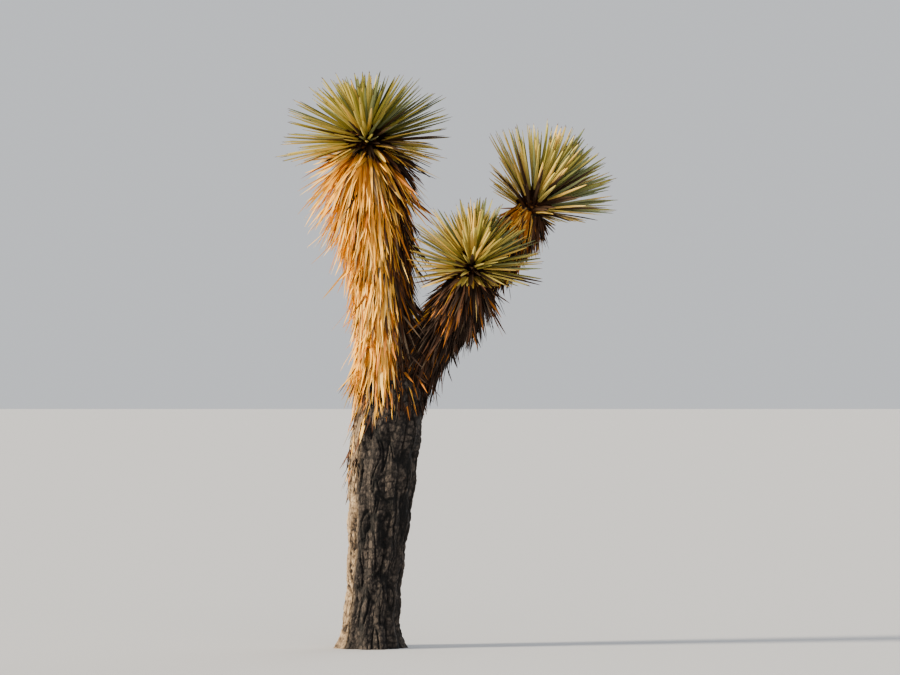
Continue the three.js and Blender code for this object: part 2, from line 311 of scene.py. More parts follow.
# Finishes
mixShare, mixFirst, mixSecond, mixResult = 0, 6, 7, 2  # the colour sockets of a Mix node


def paint(red, green, blue):  # sRGB values up to 255 as a shader's linear colour
    return tuple(((value / 255 + 0.055) / 1.055) ** 2.4 for value in (red, green, blue))


def addNode(tree, kind, inputs=None, **settings):
    node = tree.nodes.new(kind)
    for setting, value in settings.items():
        setattr(node, setting, value)
    for socket, value in (inputs or {}).items():
        if isinstance(value, bpy.types.NodeSocket):
            tree.links.new(value, node.inputs[socket])
        else:
            node.inputs[socket].default_value = value
    return node


def plainFinish(name, colour, roughness):
    finish = bpy.data.materials.new(name)
    finish.use_nodes = True
    shader = finish.node_tree.nodes["Principled BSDF"]
    shader.inputs["Base Color"].default_value = (*colour, 1)
    shader.inputs["Roughness"].default_value = roughness
    return finish, finish.node_tree, shader


def addNoise(tree, vector, scale, detail):
    return addNode(tree, "ShaderNodeTexNoise", {"Vector": vector, "Scale": scale, "Detail": detail})


def addMath(tree, operation, *values):
    return addNode(tree, "ShaderNodeMath", dict(enumerate(values)), operation=operation).outputs[0]


def addSkin(tree, shader, grain, shine, height, strength, relief):
    # The roughness goes by the grain, within the two ends of shine, and the bump by the height
    least, most = shine
    rough = addNode(tree, "ShaderNodeMapRange", {"Value": grain, "To Min": least, "To Max": most})
    bump = addNode(tree, "ShaderNodeBump", {"Height": height, "Strength": strength, "Distance": relief})
    tree.links.new(rough.outputs["Result"], shader.inputs["Roughness"])
    tree.links.new(bump.outputs["Normal"], shader.inputs["Normal"])


leafSkin = {
    "detail": 3.0,
    "shine": 0.1,  # by which the roughness goes up and down
    "bump": 0.5,
}


def leafFinish(name, colour, roughness, grain, relief):
    # A plain colour with a grainy skin: noise moves the roughness a little and raises the bump
    finish, tree, shader = plainFinish(name, paint(*colour), roughness)
    place = addNode(tree, "ShaderNodeTexCoord")
    noise = addNoise(tree, place.outputs["Object"], grain, leafSkin["detail"]).outputs["Fac"]
    shine = roughness - leafSkin["shine"], roughness + leafSkin["shine"]
    addSkin(tree, shader, noise, shine, noise, leafSkin["bump"], relief)
    return finish


def addRamp(tree, share, stops):
    ramp = addNode(tree, "ShaderNodeValToRGB", {"Fac": share})
    while len(ramp.color_ramp.elements) < len(stops):
        ramp.color_ramp.elements.new(1.0)
    for element, (position, colour) in zip(ramp.color_ramp.elements, stops):
        element.position = position
        element.color = (*paint(*colour), 1)
    return ramp.outputs["Color"]


reliefSkin = {
    "fineDetail": 6.0,
    "slowScale": 7.0,
    "slowDetail": 2.0,
    "meanShift": -1.5,  # takes the mean of two noises and a tone off again
    "mottle": 0.34,  # how far noise and tone move the colour
    "warp": 0.012,
    "crackWidth": 0.11,
    "crackShade": 0.24,
    "shade": -0.2,
    "shine": (-0.12, 0.08),
    "bump": 0.9,
}


def reliefFinish(name, stops, bleachedStops, roughness, grain, stretch, relief, cracks):
    # Colours from the depth of the relief, shifted by each plate's tone and by two sizes of noise, and
    # darkened in fine cracks along the edges of warped cells. A point attribute turns them to the second
    # stops, which paint sunlight on the lit side of the wood
    skin = reliefSkin
    finish, tree, shader = plainFinish(name, paint(*stops[-1][1]), roughness)
    place = addNode(tree, "ShaderNodeTexCoord").outputs["Object"]
    mapping = addNode(tree, "ShaderNodeMapping", {"Vector": place, "Scale": (1, 1, stretch)})
    scaled = mapping.outputs["Vector"]
    depth, tone, bleached = (
        addNode(tree, "ShaderNodeAttribute", attribute_name=attribute).outputs["Fac"]
        for attribute in ("relief", "tone", "bleached")
    )
    grains = addNoise(tree, scaled, grain, skin["fineDetail"])
    fine = grains.outputs["Fac"]
    slow = addNoise(tree, place, skin["slowScale"], skin["slowDetail"]).outputs["Fac"]
    mottle = addMath(tree, "ADD", addMath(tree, "ADD", fine, slow), tone)
    centred = addMath(tree, "ADD", mottle, skin["meanShift"])
    warped = addNode(
        tree,
        "ShaderNodeVectorMath",
        {0: grains.outputs["Color"], 1: [skin["warp"]] * 3, 2: scaled},
        operation="MULTIPLY_ADD",
    )
    cells = addNode(
        tree,
        "ShaderNodeTexVoronoi",
        {"Vector": warped.outputs["Vector"], "Scale": cracks},
        feature="DISTANCE_TO_EDGE",
    )
    edge = {"Value": cells.outputs["Distance"], "From Max": skin["crackWidth"]}
    whole = addNode(tree, "ShaderNodeMapRange", edge).outputs["Result"]
    lit = addMath(tree, "MULTIPLY_ADD", centred, skin["mottle"], depth)
    cracked = addMath(tree, "MULTIPLY_ADD", whole, skin["crackShade"], lit)
    shaded = addMath(tree, "ADD", cracked, skin["shade"])
    colour = addNode(
        tree,
        "ShaderNodeMix",
        {
            mixShare: bleached,
            mixFirst: addRamp(tree, shaded, stops),
            mixSecond: addRamp(tree, shaded, bleachedStops),
        },
        data_type="RGBA",
    )
    tree.links.new(colour.outputs[mixResult], shader.inputs["Base Color"])
    shine = roughness + skin["shine"][0], roughness + skin["shine"][1]
    addSkin(tree, shader, fine, shine, addMath(tree, "ADD", fine, whole), skin["bump"], relief)
    return finish


# The bark's two ramps paint light and shade: the first, for most of the girth, is painted shade, and the
# second is painted sunlight, several times as bright, for the side that faces the left
shadedBark = [  # places along a ramp and their sRGB colours
    (0.12, (10, 9, 9)),
    (0.42, (29, 25, 23)),
    (0.72, (50, 44, 40)),
    (1.0, (84, 75, 68)),
]
paintedSunlitBark = [
    (0.12, (34, 27, 22)),
    (0.42, (100, 84, 68)),
    (0.72, (142, 122, 98)),
    (1.0, (174, 154, 128)),
]
packedBases = [
    (0.0, (44, 27, 15)),
    (0.5, (112, 72, 38)),
    (1.0, (168, 118, 68)),
]
barkFinish = reliefFinish(
    "furrowed bark",
    shadedBark,
    paintedSunlitBark,
    roughness=0.88,
    grain=110.0,
    stretch=0.4,
    relief=0.002,
    cracks=62.0,
)
thatchFinish = reliefFinish(
    "packed leaf bases",
    packedBases,
    packedBases,
    roughness=0.9,
    grain=120.0,
    stretch=0.15,
    relief=0.002,
    cracks=90.0,
)
liveSkin = {"grain": 160.0, "relief": 0.0004}
liveColours = {  # with their roughness
    "olive leaf": ((154, 147, 77), 0.5),
    "grey green leaf": ((136, 143, 104), 0.5),
    "yellow green leaf": ((194, 179, 106), 0.52),
    "deep green leaf": ((102, 106, 62), 0.48),
    "turning leaf": ((212, 182, 106), 0.6),
    # browned leaves: the colour of dying leaves, and painted shade where they are dealt to the front
    "browned leaf in painted shade": ((70, 50, 34), 0.7),
    # leaf bases: a dark brown, partly the bases' own colour, partly painted shade in the rosette's heart
    "leaf base in painted shade": ((76, 50, 35), 0.55),
}
liveFinishes = [leafFinish(name, *look, **liveSkin) for name, look in liveColours.items()]
liveFinishes.append(leafFinish("leaf spine", (96, 60, 34), 0.55, liveSkin["grain"], relief=0.0003))
yellowGreenSlot, turningSlot, shadedBrownSlot, shadedLeafBaseSlot, leafSpineSlot = 2, 4, 5, 6, 7
deadSkin = {"grain": 220.0, "relief": 0.0006}
deadColours = {
    "golden straw": ((238, 184, 88), 0.78),
    "pale straw": ((226, 190, 118), 0.8),
    "russet straw": ((172, 110, 50), 0.8),
    "brown straw": ((84, 54, 35), 0.85),
    "weathered straw": ((122, 104, 84), 0.85),
    # painted shade: a near black straw for thatch that lies in shadow
    "painted shade straw": ((50, 34, 24), 0.88),
}
deadFinishes = [leafFinish(name, *look, **deadSkin) for name, look in deadColours.items()]
print("finishes made")

# Bark on the trunk and the limbs. Around counts the cells round the trunk, and a limb never has fewer than
# the least. Warp is how far slow noise moves them, in cells. Shades and tone shares mix the colours' places
barkLook = {
    "furrows": {
        "around": 22,
        "least": 6,
        "warp": 0.5,
        "width": 0.27,
        "ragged": 0.3,
        "depth": 0.007,
        "shade": 0.42,
    },
    "branches": {"times": 2, "warp": 0.6, "share": 0.5},  # finer furrows between the long ones
    "plates": {
        "around": 34,
        "least": 9,
        "rise": 21.0,  # plates in a metre of height
        "warp": (0.45, 0.6),
        "bevel": 0.36,
        "lowest": 0.7,  # the height of the darkest one, as a share
        "depth": 0.0045,
        "sunk": 0.35,  # the share of their height that they keep in a furrow
        "shade": 0.36,
        "sunkShade": 0.4,
        "toneShare": 0.45,
        "seed": 2,
    },
    "chips": {
        "around": 76,
        "least": 16,
        "rise": 56.0,
        "warp": (0.8, 0.9),
        "bevel": 0.3,
        "lowest": 0.4,
        "depth": 0.0020,
        "shade": 0.22,
        "toneShare": 0.55,
        "seed": 3,
    },
    "fibres": {"around": 150, "least": 30, "depth": 0.0010},
    "slowCells": 7,
    "ragged": 0.16,
    "lump": 0.0015,
    "skinDepth": 0.0085,  # by which the mean of all that is taken off again
    "bleachedWay": (-0.985, 0.17, 0.0),
    "bleachedFrom": 0.47,  # cosines of the angles from that way where the painted sunlight starts and is full
    "bleachedTo": 0.74,
}
barkNoise = {  # each noise's cells in a metre of height, where it starts, and its seed
    "warpX": (8, 0, 0),
    "warpY": (7, 40, 1),
    "fibre": (45, 0, 4),
    "lump": (4, 90, 5),
    "furrow": (4.5, 0, 6),
    "branch": (10.8, 9, 7),
    "rag": (70, 0, 8),
}


def barkRelief(turn, rise, girth, seed):
    # furrow step(|noise|) + plate step(cell edge) + chip step(cell edge) + fibre noise + lump noise, on
    # places warped by slow noise. girth scales the number of cells round the limb
    furrows, branches = barkLook["furrows"], barkLook["branches"]
    plates, chips, fibres = barkLook["plates"], barkLook["chips"], barkLook["fibres"]
    around = turn / (2 * np.pi)

    def cellsRound(size):
        return max(size["least"], round(size["around"] * girth))

    def noise(name, cells, warp=0):
        pace, start, step = barkNoise[name]
        return valueNoise(around * cells + warp, rise * pace + start, cells, seed + step)

    def broken(size, ragged):  # step(cell edge + ragged) of warped cells, lower in dark ones, and their tones
        cells = cellsRound(size)
        across = around * cells + size["warp"][0] * warpX
        up = rise * size["rise"] + size["warp"][1] * warpY
        edge, tone = cellEdges(across, up, cells, seed + size["seed"])
        return smoothstep(0, size["bevel"], edge + ragged) * lerp(size["lowest"], 1, tone), tone

    warpX = noise("warpX", barkLook["slowCells"])
    warpY = noise("warpY", barkLook["slowCells"])
    furrowCells = cellsRound(furrows)
    branch = noise("branch", furrowCells * branches["times"], branches["warp"] * warpX)
    waves = noise("furrow", furrowCells, furrows["warp"] * warpX) + branches["share"] * branch
    ragged = barkLook["ragged"] * noise("rag", cellsRound(chips))
    furrow = smoothstep(0, furrows["width"], np.abs(waves) + furrows["ragged"] * ragged)
    plate, plateTone = broken(plates, ragged)
    chip, chipTone = broken(chips, 0)
    height = furrows["depth"] * furrow + plates["depth"] * plate * lerp(plates["sunk"], 1, furrow)
    height = height + chips["depth"] * chip + fibres["depth"] * noise("fibre", cellsRound(fibres))
    height = height + barkLook["lump"] * noise("lump", barkLook["slowCells"])
    depth = furrows["shade"] * furrow + plates["shade"] * plate * lerp(plates["sunkShade"], 1, furrow)
    depth = np.clip(depth + chips["shade"] * chip, 0, 1)
    tone = plates["toneShare"] * plateTone + chips["toneShare"] * chipTone
    return height - barkLook["skinDepth"], depth, tone


def surfaceGrid(rings, sides):  # turn round the limb and share along it, as two grids
    turn = np.arange(sides) * 2 * np.pi / sides
    share = np.linspace(0, 1, rings)
    return np.meshgrid(turn, share)


def makeTrunk():
    # (turn, height) -> middle(height) + (radius lobes + ridges + fillet + bark) (cos turn, sin turn, 0)
    turn, share = surfaceGrid(trunk["rings"], trunk["sides"])
    height = trunk["forkHeight"] * share
    lobe = np.exp(-height / trunk["flareFade"]) * np.cos(trunk["lobes"] * turn + trunk["lobePhase"])
    radius = trunkRadius(height) * (1 + trunk["lobeDepth"] * lobe) + trunkRelief(turn, height)
    relief, depth, tone = barkRelief(turn, height, 1.0, trunk["barkSeed"])
    way = np.stack([np.cos(turn), np.sin(turn), np.zeros_like(turn)], -1)
    smooth = trunkMiddle(height) + radius[..., None] * way
    grid = smooth + (fillet(smooth, trunk["joins"]) + relief)[..., None] * way
    # Painted sunlight: the share of the sunlit bark colours, full on the side facing the left, fading either
    # side
    facing = way @ np.array(barkLook["bleachedWay"])
    bleached = smoothstep(barkLook["bleachedFrom"], barkLook["bleachedTo"], facing)
    makeTube("trunk_bark", ["trunk"], "bark", grid, barkFinish, relief=depth, tone=tone, bleached=bleached)


def makeLimb(name, limb):
    # (turn, share) -> middle(share) + (radius + fillet + bark) out(turn)
    turn, share = surfaceGrid(limb["rings"], limb["sides"])
    middle, along, side, back = limbFrame(limb, share)
    way = outwards(side, back, turn)
    rise = share * np.linalg.norm(np.diff(middle[:, 0], axis=0), axis=1).sum()
    girth = limb["startRadius"] / (trunk["slimRadius"] + trunk["swell"])
    relief, depth, tone = barkRelief(turn, rise, girth, limb["barkSeed"])
    radius = limbRadius(limb, share)
    joined = fillet(middle + radius[..., None] * way, limb["joins"])
    closing = 1 - smoothstep(headStart, 1, share) * headNarrowing
    grid = middle + ((radius + joined + relief) * closing)[..., None] * way
    makeTube(name + "_bark", [name], "bark", grid, barkFinish, relief=depth, tone=tone)


makeTrunk()
for name, limb in limbs.items():
    makeLimb(name, limb)
print("wood made")

# Leaves
liveForm = {  # a channelled dagger: right edge, channel, left edge, keel
    "stations": np.array([0.0, 0.09, 0.2, 0.36, 0.55, 0.75, 0.9, 0.965]),
    "widths": np.array([1.5, 1.2, 0.95, 1.0, 0.95, 0.76, 0.44, 0.22]),
    "depths": np.array([1.6, 1.15, 0.95, 0.9, 0.8, 0.65, 0.4, 0.22]),
    "section": np.array([(1.0, 0.3), (0.0, -0.25), (-1.0, 0.3), (0.0, -1.0)]),
    "baseRows": 2,
    "baseSlot": shadedLeafBaseSlot,
    "tipSlot": leafSpineSlot,
    "sharpAngle": 50,
    "finishes": liveFinishes,
    "slot": "live_leaf",
}
deadForm = {  # a dry, keeled strap
    "stations": np.array([0.0, 0.22, 0.5, 0.78, 0.94]),
    "widths": np.array([1.15, 0.95, 0.8, 0.5, 0.2]),
    "depths": np.array([1.0, 0.8, 0.7, 0.5, 0.25]),
    "section": np.array([(1.0, 0.0), (-1.0, 0.0), (0.0, -1.0)]),
    "baseRows": 0,
    "baseSlot": None,
    "tipSlot": None,
    "sharpAngle": 60,
    "finishes": deadFinishes,
    "slot": "dead_leaf",
}


def leafPoints(leaves, form):
    # centre(s) = root + length (s direction + s² bend). The section's ways across turn by twist s about the
    # leaf. Section point j lies at across_j width(s) / 2 and face_j thickness depth(s). The tip comes last
    s = form["stations"][None, :, None]
    direction = leaves["direction"][:, None, :]
    bend = leaves["bend"][:, None, :]
    length = leaves["length"][:, None, None]
    centre = leaves["root"][:, None, :] + length * (s * direction + s**2 * bend)
    tangent = unit(direction + 2 * s * bend)
    across = unit(np.cross(leaves["upper"], leaves["direction"]))[:, None, :]
    face = np.cross(direction, across)
    twist = leaves["twist"][:, None, None] * s
    across = across * np.cos(twist) + face * np.sin(twist)
    across = unit(across - tangent * dot(across, tangent))
    face = np.cross(tangent, across)
    halfWidth = leaves["width"][:, None] / 2 * form["widths"]
    depth = leaves["thickness"][:, None] * form["depths"]
    sideways = (halfWidth[..., None] * form["section"][:, 0])[..., None] * across[:, :, None, :]
    deep = (depth[..., None] * form["section"][:, 1])[..., None] * face[:, :, None, :]
    rings = (centre[:, :, None, :] + sideways + deep).reshape(len(direction), -1, 3)
    tip = leaves["root"] + leaves["length"][:, None] * (leaves["direction"] + leaves["bend"])
    return np.concatenate([rings, tip[:, None, :]], axis=1)


def leafFaces(form, tints):
    # Quads between the sections, a cap at the root and a fan at the tip, repeated for every leaf. The base
    # and the tip have the leaf's own tint where the form gives them no slot
    rows, corners = len(form["stations"]), len(form["section"])
    here = np.arange(corners)
    last = (rows - 1) * corners
    fan = np.stack([last + here, last + (here + 1) % corners, np.full(corners, rows * corners)], -1)
    cap = here[::-1][None]
    offsets = np.arange(len(tints))[:, None, None] * (rows * corners + 1)
    blocks = rowQuads(rows, corners), fan, cap
    faces = [(block + offsets).reshape(-1, block.shape[1]) for block in blocks]
    bases = tints if form["baseSlot"] is None else np.full(len(tints), form["baseSlot"])
    tips = tints if form["tipSlot"] is None else np.full(len(tints), form["tipSlot"])
    rowOfQuad = np.repeat(np.arange(rows - 1), corners)
    quadFinish = np.where(rowOfQuad < form["baseRows"], bases[:, None], tints[:, None])
    return faces, np.concatenate([quadFinish.ravel(), np.repeat(tips, corners), bases])


paintedSunFacing = {  # the side lit by painted sunlight, where the tints turn paler
    "way": (-0.92, -0.39, 0.0),
    "sharpness": 2.4,
    "shift": -0.04,
}


def paintedSunlight(out):  # from -1 in the shade to 1 in the sun: tanh(sharpness (out way + shift))
    return np.tanh(paintedSunFacing["sharpness"] * (dot(out, np.array(paintedSunFacing["way"])) + paintedSunFacing["shift"]))


def dealTints(weights, rng):
    # For each leaf the first tint whose running share of the weights passes a random share
    running = np.cumsum(weights / weights.sum(1, keepdims=True), axis=1)
    return np.minimum((rng.uniform(0, 1, (len(weights), 1)) > running).sum(1), weights.shape[1] - 1)


def keepOnly(leaves, kept):
    return {key: values[kept] for key, values in leaves.items()}


boxRule = {
    "margin": 0.004,  # how far a tip may pass the side of the box
    "stillReach": 1e-6,  # a shorter reach counts as none
    "raggedFrom": 5 / 6,
    "leastLength": 0.3,  # the share of a leaf that is left at least
}


def keepInside(leaves, node, rng):
    # A leaf whose tip would leave the box of its mass, or all but reach its side, is shortened to the share
    # (bound - root) / (tip - root), and by up to a sixth more so that no two tips end level
    low, high = (np.array(corner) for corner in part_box(node))
    reach = leaves["length"][:, None] * (leaves["direction"] + leaves["bend"])
    bound = np.where(reach > 0, high + boxRule["margin"], low - boxRule["margin"])
    moves = np.abs(reach) > boxRule["stillReach"]
    share = np.where(moves, (bound - leaves["root"]) / np.where(moves, reach, 1), farAway)
    ragged = rng.uniform(boxRule["raggedFrom"], 1, len(share))
    leaves["length"] = leaves["length"] * np.clip(share.min(1) * ragged, boxRule["leastLength"], 1)
    return leaves


def joinLeaves(groups):
    return {key: np.concatenate([group[key] for group in groups]) for key in groups[0]}


def leastClearance(leaves, form, fromStation):
    # How far each leaf's middle line stays from all the wood and from the ground
    s = np.append(form["stations"][fromStation:], 1.0)[None, :, None]
    line = leaves["root"][:, None] + leaves["length"][:, None, None] * (
        s * leaves["direction"][:, None] + s**2 * leaves["bend"][:, None]
    )
    clear = line[..., 2]
    for name in ("trunk", *limbs):
        clear = np.minimum(clear, clearOf(name, line))
    return clear.min(1)


def ownForms(rule, rng, count, sag=None):  # each leaf's width, thickness, bend and twist
    width = rule["width"] * rng.uniform(*rule["widths"], count)
    thickness = rule["thickness"] * rng.uniform(*rule["thicknesses"], count)
    sag = rng.uniform(*rule["sags"], count) if sag is None else sag
    bend = -upWay * sag[:, None] + rng.normal(0, rule["wander"], (count, 3))
    twist = rng.normal(0, rule["twist"], count)
    return {"width": width, "thickness": thickness, "bend": bend, "twist": twist}


def makeLeaves(name, nodes, leaves, form):
    points = leafPoints(leaves, form).reshape(-1, 3)
    faces, tints = leafFaces(form, leaves["tint"])
    sharp = form["sharpAngle"]
    makePiece(name, nodes, points, faces, form["finishes"], tints, sharpAngle=sharp)


# Rosettes
rosettes = {
    "crown_left": {
        "limb": "leader",
        "leaves": 330,
        "tints": [0.34, 0.2, 0.28, 0.14, 0.04],
        "leafLength": 0.400,
        "topLength": 0.53,
        "budLength": 0.150,
        "budRadius": 0.080,
        "widestAngle": 94,
        "turningLeaves": 90,
        "seed": 3,
    },
    "crown_right": {
        "limb": "right_bough",
        "leaves": 270,
        "tints": [0.26, 0.26, 0.26, 0.08, 0.14],
        "leafLength": 0.372,
        "topLength": 0.96,
        "budLength": 0.145,
        "budRadius": 0.070,
        "widestAngle": 62,
        "turningLeaves": 80,
        "seed": 5,
    },
    "crown_front": {
        "limb": "front_bough",
        "leaves": 240,
        "tints": [0.26, 0.06, 0.38, 0.06, 0.24],
        "leafLength": 0.325,
        "topLength": 0.86,
        "budLength": 0.120,
        "budRadius": 0.060,
        "widestAngle": 88,
        "turningLeaves": 60,
        "seed": 8,
    },
}
rosetteRule = {
    "uprightAngle": 4,  # degrees from the limb's direction
    "leastAngle": 2,
    "anglePower": 1.15,
    "angleScatter": 12,
    "turnScatter": 0.3,
    "lengthScatter": 0.2,
    "topShortening": 0.5,  # the share by which the topmost leaves may be shorter still
    "lengthPower": 2.5,  # only the leaves near the top grow shorter
    "lowestRoot": 0.16,
    "highestRoot": 0.78,
    "lowestSkin": 0.95,
    "highestSkin": 0.2,
    "domePower": 1.6,
    "cupping": 0.4,
    "rootDepth": 0.024,
    "width": 0.022,
    "widths": (0.8, 1.2),
    "thickness": 0.0065,
    "thicknesses": (0.85, 1.15),
    "sag": 0.03,
    "wander": 0.012,
    "twist": 0.25,
    "clearFrom": 3,  # the station from which a leaf has to be clear of the wood
    "leastClear": 0.002,
    "bleach": [0.0, -0.5, 0.9, -1.0, 0.8],  # how strongly each tint keeps to the side of painted sunlight, and the dark greens to painted shade
    "paintedShadeWay": (0.1, -0.995, 0.0),  # the side where low leaves are browned, which also paints the shade under the rosette
    "brownedShadeBelow": 0.36,  # the share of the leaves, from the lowest up, among which some are brown
    "brownedShade": 1.2,
}
turningRule = {
    "pastWidest": 24,  # degrees past the widest angle
    "angleScatter": 5,
    "turnScatter": 0.6,
    "lowestRoot": -0.02,  # metres from the limb's end
    "highestRoot": 0.18,  # as a share of the bud's length
    "rootDepth": 0.012,
    "lengths": (0.72, 0.95),
    "cupping": -0.3,
    "width": 0.022,
    "widths": (0.75, 1.05),
    "thickness": 0.0065,
    "thicknesses": (0.6, 0.9),
    "sags": (0.02, 0.1),
    "wander": 0.02,
    "twist": 0.5,
    "pale": 0.6,  # the share of them that is straw and not yellow green
    "brownedShade": (0.15, 0.8),  # browned shares away from the painted shade side and on it
}
budForm = {
    "rings": 60,
    "sides": 72,
    "postShare": 0.45,
    "around": 16,
    "along": 9,
    "edge": (0.02, 0.4),
    "relief": 0.006,
    "leastRound": 0.02,
}
baseShade = 0.8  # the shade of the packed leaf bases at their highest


def leafBases(form, turn, along, seed):  # how far packed leaf bases stand out, as a share, and their tones
    cells = form["around"]
    edge, tone = cellEdges(turn / (2 * np.pi) * cells, along * form["along"], cells, seed)
    return smoothstep(*form["edge"], edge), tone


def paintedShadeSide(out):  # the square of out way, and 0 on the far side
    return np.maximum(dot(out, np.array(rosetteRule["paintedShadeWay"])), 0) ** 2


def rosetteLeaves(rosette, rng):
    # Leaf i of n: share (i + ½)/n, turn i times the golden angle, tilt from widest to upright, root from
    # the bud's foot to its top, all with a little scatter
    rule = rosetteRule
    middle, along, side, back = limbFrame(limbs[rosette["limb"]], 1.0)
    count = rosette["leaves"]
    order = np.arange(count)
    share = (order + 0.5) / count
    turn = order * goldenAngle + scatter(rng, count) * rule["turnScatter"]
    angle = lerp(rosette["widestAngle"], rule["uprightAngle"], share ** rule["anglePower"])
    angle = angle + scatter(rng, count) * rule["angleScatter"]
    tilt = np.radians(np.maximum(rule["leastAngle"], angle))
    out = outwards(side, back, turn)
    skin = rosette["budRadius"] * lerp(rule["lowestSkin"], rule["highestSkin"], share ** rule["domePower"])
    rise = rosette["budLength"] * lerp(rule["lowestRoot"], rule["highestRoot"], share)
    length = rosette["leafLength"] * lerp(1, rosette["topLength"], share ** rule["lengthPower"])
    length = length * (1 - rule["topShortening"] * share**2 * rng.uniform(0, 1, count))
    length = length * (1 + scatter(rng, count) * rule["lengthScatter"]) + rule["rootDepth"]
    sag = rule["sag"] * np.sin(tilt) * rng.uniform(0, 1, count)
    # Painted light: the tints lean to the pale ones on the left, sunlit side and to the dark greens on the
    # other
    weights = np.array(rosette["tints"]) * np.exp(paintedSunlight(out) * rule["bleach"])
    # Low leaves facing the front are browned: partly dying leaves, partly painted shade under the rosette
    lowness = np.clip(1 - share / rule["brownedShadeBelow"], 0, 1)[:, None]
    brownedShade = rule["brownedShade"] * lowness * paintedShadeSide(out)
    return {
        "root": middle + rise[:, None] * along + np.maximum(0, skin - rule["rootDepth"])[:, None] * out,
        "direction": out * np.sin(tilt)[:, None] + along * np.cos(tilt)[:, None],
        "upper": unit(along - rule["cupping"] * out),
        "length": length,
        **ownForms(rule, rng, count, sag),
        "tint": dealTints(np.concatenate([weights, brownedShade], 1), rng),
    }


def turningLeaves(rosette, rng):
    # Yellowed leaves under the green ones: they lean past the widest angle and root where the limb ends
    rule = turningRule
    middle, along, side, back = limbFrame(limbs[rosette["limb"]], 1.0)
    count = rosette["turningLeaves"]
    share = (np.arange(count) + 0.5) / count
    turn = np.arange(count) * goldenAngle + scatter(rng, count) * rule["turnScatter"]
    angle = rosette["widestAngle"] + rule["pastWidest"] * (1 - share)
    tilt = np.radians(angle + rng.normal(0, rule["angleScatter"], count))
    out = outwards(side, back, turn)
    skin = limbs[rosette["limb"]]["endRadius"] - rule["rootDepth"]
    rise = lerp(rule["lowestRoot"], rule["highestRoot"] * rosette["budLength"], share)
    length = rosette["leafLength"] * rng.uniform(*rule["lengths"], count)
    pale = np.where(rng.uniform(0, 1, count) < rule["pale"], turningSlot, yellowGreenSlot)
    # Browned leaves gather on the front: partly dying leaves, partly painted shade under the rosette
    brownedShade = rng.uniform(0, 1, count) < lerp(*rule["brownedShade"], paintedShadeSide(out)[:, 0])
    return {
        "root": middle + rise[:, None] * along + skin * out,
        "direction": unit(out * np.sin(tilt)[:, None] + along * np.cos(tilt)[:, None]),
        "upper": unit(along - rule["cupping"] * out),
        "length": length,
        **ownForms(rule, rng, count),
        "tint": np.where(brownedShade, shadedBrownSlot, pale),
    }


def makeBud(name, rosette):
    # (turn, share) -> tip + share length along + radius √(1 - rise²) out, with leaf bases as relief
    middle, along, side, back = limbFrame(limbs[rosette["limb"]], 1.0)
    turn, share = surfaceGrid(budForm["rings"], budForm["sides"])
    rise = np.clip((share - budForm["postShare"]) / (1 - budForm["postShare"]), 0, 1)
    depth, tone = leafBases(budForm, turn, share, rosette["seed"])
    radius = rosette["budRadius"] * np.sqrt(np.maximum(budForm["leastRound"], 1 - rise**2))
    radius = radius - budForm["relief"] * (1 - depth)
    grid = middle + (share * rosette["budLength"])[..., None] * along
    grid = grid + radius[..., None] * outwards(side, back, turn)
    makeTube(name + "_bud", [], "dead_leaf", grid, thatchFinish, relief=depth * baseShade, tone=tone)


for name, rosette in rosettes.items():
    rng = np.random.default_rng(rosette["seed"])
    leaves = keepInside(joinLeaves([rosetteLeaves(rosette, rng), turningLeaves(rosette, rng)]), name, rng)
    clear = leastClearance(leaves, liveForm, rosetteRule["clearFrom"]) > rosetteRule["leastClear"]
    makeLeaves(name + "_leaves", [name], keepOnly(leaves, clear), liveForm)
    makeBud(name, rosette)
print("rosettes made")

# Skirts of dead leaves. The sleeve is their thickness at foot, middle and head, the spread goes in degrees
# from foot to head, and the lowest and the inmost leaves tend to the old tints, which are darker: the old
# leaves' colour, and in the inner layers painted shade as well
agedTints = [0.03, 0.04, 0.22, 0.42, 0.11, 0.18]
skirts = {
    "leader_skirt_upper": {
        "limb": "leader",
        "from": 0.62,
        "to": 0.985,
        "leaves": 2200,
        "leafLength": 0.265,
        "sleeve": [0.036, 0.062, 0.060],
        "spread": [8, 54],
        "tints": [0.4, 0.22, 0.2, 0.1, 0.03, 0.05],
        "oldTints": agedTints,
        "bleached": 1.0,
        "seed": 13,
    },
    "leader_skirt_lower": {
        "limb": "leader",
        "from": 0.11,
        "to": 0.62,
        "leaves": 2600,
        "leafLength": 0.190,
        "sleeve": [0.048, 0.040, 0.034],
        "spread": [18, 16],
        "tints": [0.29, 0.2, 0.22, 0.14, 0.08, 0.07],
        "oldTints": agedTints,
        "bleached": 1.0,
        "seed": 17,
    },
    # The right and front skirts have darker tints and less painted sunlight than the leader's: painted shade,
    # darkest on the lower right skirt in the leader's shadow and on the front skirt under its rosette
    "right_skirt_upper": {
        "limb": "right_bough",
        "from": 0.64,
        "to": 0.985,
        "leaves": 1500,
        "leafLength": 0.125,
        "sleeve": [0.028, 0.032, 0.026],
        "spread": [12, 34],
        "tints": [0.12, 0.08, 0.3, 0.34, 0.04, 0.12],
        "oldTints": agedTints,
        "bleached": 0.6,
        "seed": 19,
    },
    "right_skirt_lower": {
        "limb": "right_bough",
        "from": 0.2,
        "to": 0.64,
        "leaves": 2100,
        "leafLength": 0.170,
        "sleeve": [0.020, 0.030, 0.028],
        "spread": [12, 18],
        "tints": [0.0, 0.0, 0.03, 0.2, 0.03, 0.74],
        "oldTints": [0.0, 0.0, 0.04, 0.2, 0.03, 0.73],
        "bleached": 0.25,
        "seed": 23,
    },
    "front_skirt": {
        "limb": "front_bough",
        "from": 0.42,
        "to": 0.97,
        "leaves": 700,
        "leafLength": 0.165,
        "sleeve": [0.024, 0.046, 0.028],
        "spread": [24, 50],
        "tints": [0.02, 0.01, 0.14, 0.34, 0.03, 0.46],
        "oldTints": [0.0, 0.0, 0.1, 0.3, 0.03, 0.57],
        "bleached": 0.25,
        "seed": 29,
    },
}
